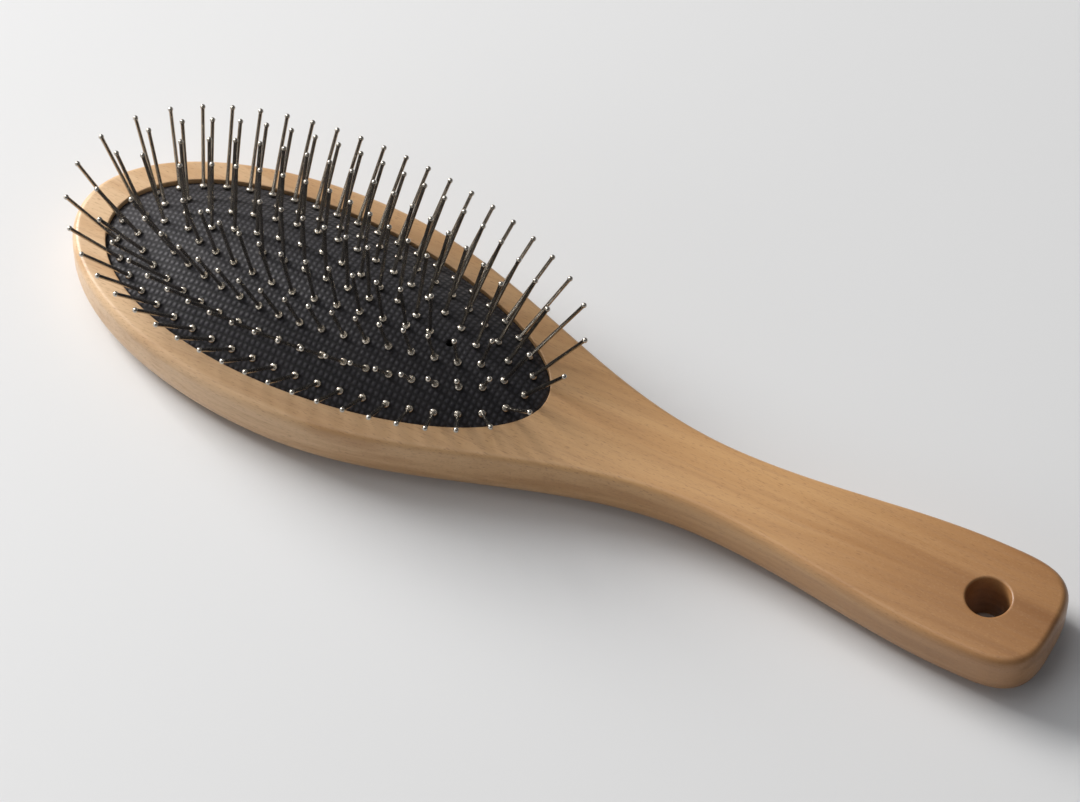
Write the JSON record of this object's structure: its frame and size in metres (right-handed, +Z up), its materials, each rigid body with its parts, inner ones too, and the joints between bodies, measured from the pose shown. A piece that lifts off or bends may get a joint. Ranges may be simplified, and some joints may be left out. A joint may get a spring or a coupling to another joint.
{
  "type": "pin brush",
  "caption": "Oval wooden brush with a flared handle and a hanging hole: ball-tipped steel pins stand in rings on a domed black air cushion held in the head.",
  "frame": {"origin": "under the middle of the brush, on its flat back", "axes": "+X along the brush towards the handle's end, +Y across it, +Z up, the way the pins point"},
  "size_m": [0.241, 0.0688, 0.0442],
  "materials": {
    "beech": "satin clear lacquer over light beech with fine straight grain",
    "pad": "black rubber faced with a fine woven cloth",
    "pin_steel": "bright nickel-plated steel wire"
  },
  "bodies": {
    "wood": {"wood_body": "beech"},
    "cushion": {"cushion_pad": "pad"},
    "outer_1": {"pins_outer_1": "pin_steel"},
    "outer_2": {"pins_outer_2": "pin_steel"},
    "outer_3": {"pins_outer_3": "pin_steel"},
    "outer_4": {"pins_outer_4": "pin_steel"},
    "outer_5": {"pins_outer_5": "pin_steel"},
    "outer_6": {"pins_outer_6": "pin_steel"},
    "outer_7": {"pins_outer_7": "pin_steel"},
    "outer_8": {"pins_outer_8": "pin_steel"},
    "outer_9": {"pins_outer_9": "pin_steel"},
    "second_1": {"pins_second_1": "pin_steel"},
    "second_2": {"pins_second_2": "pin_steel"},
    "second_3": {"pins_second_3": "pin_steel"},
    "second_4": {"pins_second_4": "pin_steel"},
    "second_5": {"pins_second_5": "pin_steel"},
    "second_6": {"pins_second_6": "pin_steel"},
    "second_7": {"pins_second_7": "pin_steel"},
    "second_8": {"pins_second_8": "pin_steel"},
    "third_1": {"pins_third_1": "pin_steel"},
    "third_2": {"pins_third_2": "pin_steel"},
    "third_3": {"pins_third_3": "pin_steel"},
    "third_4": {"pins_third_4": "pin_steel"},
    "third_5": {"pins_third_5": "pin_steel"},
    "third_6": {"pins_third_6": "pin_steel"},
    "inner_1": {"pins_inner_1": "pin_steel"},
    "inner_2": {"pins_inner_2": "pin_steel"},
    "inner_3": {"pins_inner_3": "pin_steel"},
    "inner_4": {"pins_inner_4": "pin_steel"},
    "inner_5": {"pins_inner_5": "pin_steel"},
    "inner_6": {"pins_inner_6": "pin_steel"},
    "middle_1": {"pins_middle_1": "pin_steel"}
  },
  "joints": [
    {"name": "cushion_press", "type": "slide", "parent": "wood", "child": "cushion", "axis": [0, 0, -1], "range_m": [0, 0.002], "stiffness_N_per_m": 3000, "springref_m": -0.0005, "deforming": ["cushion_pad"]},
    {"name": "outer_1_rock", "type": "hinge", "parent": "cushion", "child": "outer_1", "pos_m": [-0.01402, -0.00881, 0.01508], "axis": [0.7205, 0.6935, 0], "range_deg": [-8, 8], "stiffness_Nm_per_rad": 0.25},
    {"name": "outer_2_rock", "type": "hinge", "parent": "cushion", "child": "outer_2", "pos_m": [-0.03781, -0.01862, 0.01589], "axis": [0.9811, 0.1937, 0], "range_deg": [-8, 8], "stiffness_Nm_per_rad": 0.25},
    {"name": "outer_3_rock", "type": "hinge", "parent": "cushion", "child": "outer_3", "pos_m": [-0.06407, -0.02105, 0.01607], "axis": [1, -0.0023, 0], "range_deg": [-8, 8], "stiffness_Nm_per_rad": 0.25},
    {"name": "outer_4_rock", "type": "hinge", "parent": "cushion", "child": "outer_4", "pos_m": [-0.09006, -0.01752, 0.01507], "axis": [0.9493, -0.3143, 0], "range_deg": [-8, 8], "stiffness_Nm_per_rad": 0.25},
    {"name": "outer_5_rock", "type": "hinge", "parent": "cushion", "child": "outer_5", "pos_m": [-0.10694, -0.00124, 0.01443], "axis": [0.0933, -0.9956, 0], "range_deg": [-8, 8], "stiffness_Nm_per_rad": 0.25},
    {"name": "outer_6_rock", "type": "hinge", "parent": "cushion", "child": "outer_6", "pos_m": [-0.09271, 0.01656, 0.01495], "axis": [-0.928, -0.3725, 0], "range_deg": [-8, 8], "stiffness_Nm_per_rad": 0.25},
    {"name": "outer_7_rock", "type": "hinge", "parent": "cushion", "child": "outer_7", "pos_m": [-0.06692, 0.02101, 0.01601], "axis": [-0.9997, -0.0245, 0], "range_deg": [-8, 8], "stiffness_Nm_per_rad": 0.25},
    {"name": "outer_8_rock", "type": "hinge", "parent": "cushion", "child": "outer_8", "pos_m": [-0.04062, 0.01914, 0.01597], "axis": [-0.9857, 0.1685, 0], "range_deg": [-8, 8], "stiffness_Nm_per_rad": 0.25},
    {"name": "outer_9_rock", "type": "hinge", "parent": "cushion", "child": "outer_9", "pos_m": [-0.01608, 0.01053, 0.01514], "axis": [-0.8064, 0.5914, 0], "range_deg": [-8, 8], "stiffness_Nm_per_rad": 0.25},
    {"name": "second_1_rock", "type": "hinge", "parent": "cushion", "child": "second_1", "pos_m": [-0.02049, -0.00695, 0.01782], "axis": [0.823, 0.5681, 0], "range_deg": [-8, 8], "stiffness_Nm_per_rad": 0.25},
    {"name": "second_2_rock", "type": "hinge", "parent": "cushion", "child": "second_2", "pos_m": [-0.04477, -0.01455, 0.01945], "axis": [0.9874, 0.1585, 0], "range_deg": [-8, 8], "stiffness_Nm_per_rad": 0.25},
    {"name": "second_3_rock", "type": "hinge", "parent": "cushion", "child": "second_3", "pos_m": [-0.07045, -0.01588, 0.01907], "axis": [0.9979, -0.0649, 0], "range_deg": [-8, 8], "stiffness_Nm_per_rad": 0.25},
    {"name": "second_4_rock", "type": "hinge", "parent": "cushion", "child": "second_4", "pos_m": [-0.09502, -0.00966, 0.01718], "axis": [0.8539, -0.5204, 0], "range_deg": [-8, 8], "stiffness_Nm_per_rad": 0.25},
    {"name": "second_5_rock", "type": "hinge", "parent": "cushion", "child": "second_5", "pos_m": [-0.0974, 0.00797, 0.01691], "axis": [-0.7646, -0.6445, 0], "range_deg": [-8, 8], "stiffness_Nm_per_rad": 0.25},
    {"name": "second_6_rock", "type": "hinge", "parent": "cushion", "child": "second_6", "pos_m": [-0.07353, 0.01563, 0.01891], "axis": [-0.9952, -0.0974, 0], "range_deg": [-8, 8], "stiffness_Nm_per_rad": 0.25},
    {"name": "second_7_rock", "type": "hinge", "parent": "cushion", "child": "second_7", "pos_m": [-0.04783, 0.015, 0.0195], "axis": [-0.991, 0.1338, 0], "range_deg": [-8, 8], "stiffness_Nm_per_rad": 0.25},
    {"name": "second_8_rock", "type": "hinge", "parent": "cushion", "child": "second_8", "pos_m": [-0.02307, 0.00845, 0.0181], "axis": [-0.896, 0.4441, 0], "range_deg": [-8, 8], "stiffness_Nm_per_rad": 0.25},
    {"name": "third_1_rock", "type": "hinge", "parent": "cushion", "child": "third_1", "pos_m": [-0.03012, -0.00533, 0.02054], "axis": [0.9269, 0.3754, 0], "range_deg": [-8, 8], "stiffness_Nm_per_rad": 0.25},
    {"name": "third_2_rock", "type": "hinge", "parent": "cushion", "child": "third_2", "pos_m": [-0.05749, -0.0112, 0.02179], "axis": [0.9968, 0.0798, 0], "range_deg": [-8, 8], "stiffness_Nm_per_rad": 0.25},
    {"name": "third_3_rock", "type": "hinge", "parent": "cushion", "child": "third_3", "pos_m": [-0.0851, -0.00816, 0.01993], "axis": [0.9461, -0.3239, 0], "range_deg": [-8, 8], "stiffness_Nm_per_rad": 0.25},
    {"name": "third_4_rock", "type": "hinge", "parent": "cushion", "child": "third_4", "pos_m": [-0.08841, 0.00681, 0.01951], "axis": [-0.8921, -0.4518, 0], "range_deg": [-8, 8], "stiffness_Nm_per_rad": 0.25},
    {"name": "third_5_rock", "type": "hinge", "parent": "cushion", "child": "third_5", "pos_m": [-0.06115, 0.01141, 0.02169], "axis": [-0.9994, 0.0353, 0], "range_deg": [-8, 8], "stiffness_Nm_per_rad": 0.25},
    {"name": "third_6_rock", "type": "hinge", "parent": "cushion", "child": "third_6", "pos_m": [-0.03359, 0.00649, 0.02096], "axis": [-0.9577, 0.2877, 0], "range_deg": [-8, 8], "stiffness_Nm_per_rad": 0.25},
    {"name": "inner_1_rock", "type": "hinge", "parent": "cushion", "child": "inner_1", "pos_m": [-0.03894, -0.00217, 0.02274], "axis": [0.952, 0.306, 0], "range_deg": [-8, 8], "stiffness_Nm_per_rad": 0.25},
    {"name": "inner_2_rock", "type": "hinge", "parent": "cushion", "child": "inner_2", "pos_m": [-0.05979, -0.00565, 0.02353], "axis": [0.9986, 0.0525, 0], "range_deg": [-8, 8], "stiffness_Nm_per_rad": 0.25},
    {"name": "inner_3_rock", "type": "hinge", "parent": "cushion", "child": "inner_3", "pos_m": [-0.08077, -0.00384, 0.02183], "axis": [0.9776, -0.2107, 0], "range_deg": [-8, 8], "stiffness_Nm_per_rad": 0.25},
    {"name": "inner_4_rock", "type": "hinge", "parent": "cushion", "child": "inner_4", "pos_m": [-0.08526, 0.00268, 0.0211], "axis": [-0.9328, -0.3604, 0], "range_deg": [-8, 8], "stiffness_Nm_per_rad": 0.25},
    {"name": "inner_5_rock", "type": "hinge", "parent": "cushion", "child": "inner_5", "pos_m": [-0.06443, 0.00578, 0.02335], "axis": [-1, -0.0006, 0], "range_deg": [-8, 8], "stiffness_Nm_per_rad": 0.25},
    {"name": "inner_6_rock", "type": "hinge", "parent": "cushion", "child": "inner_6", "pos_m": [-0.04348, 0.00321, 0.02319], "axis": [-0.9795, 0.2016, 0], "range_deg": [-8, 8], "stiffness_Nm_per_rad": 0.25},
    {"name": "middle_1_rock", "type": "hinge", "parent": "cushion", "child": "middle_1", "pos_m": [-0.05995, 0, 0.02391], "axis": [-1, 0, 0], "range_deg": [-8, 8], "stiffness_Nm_per_rad": 0.25}
  ]
}
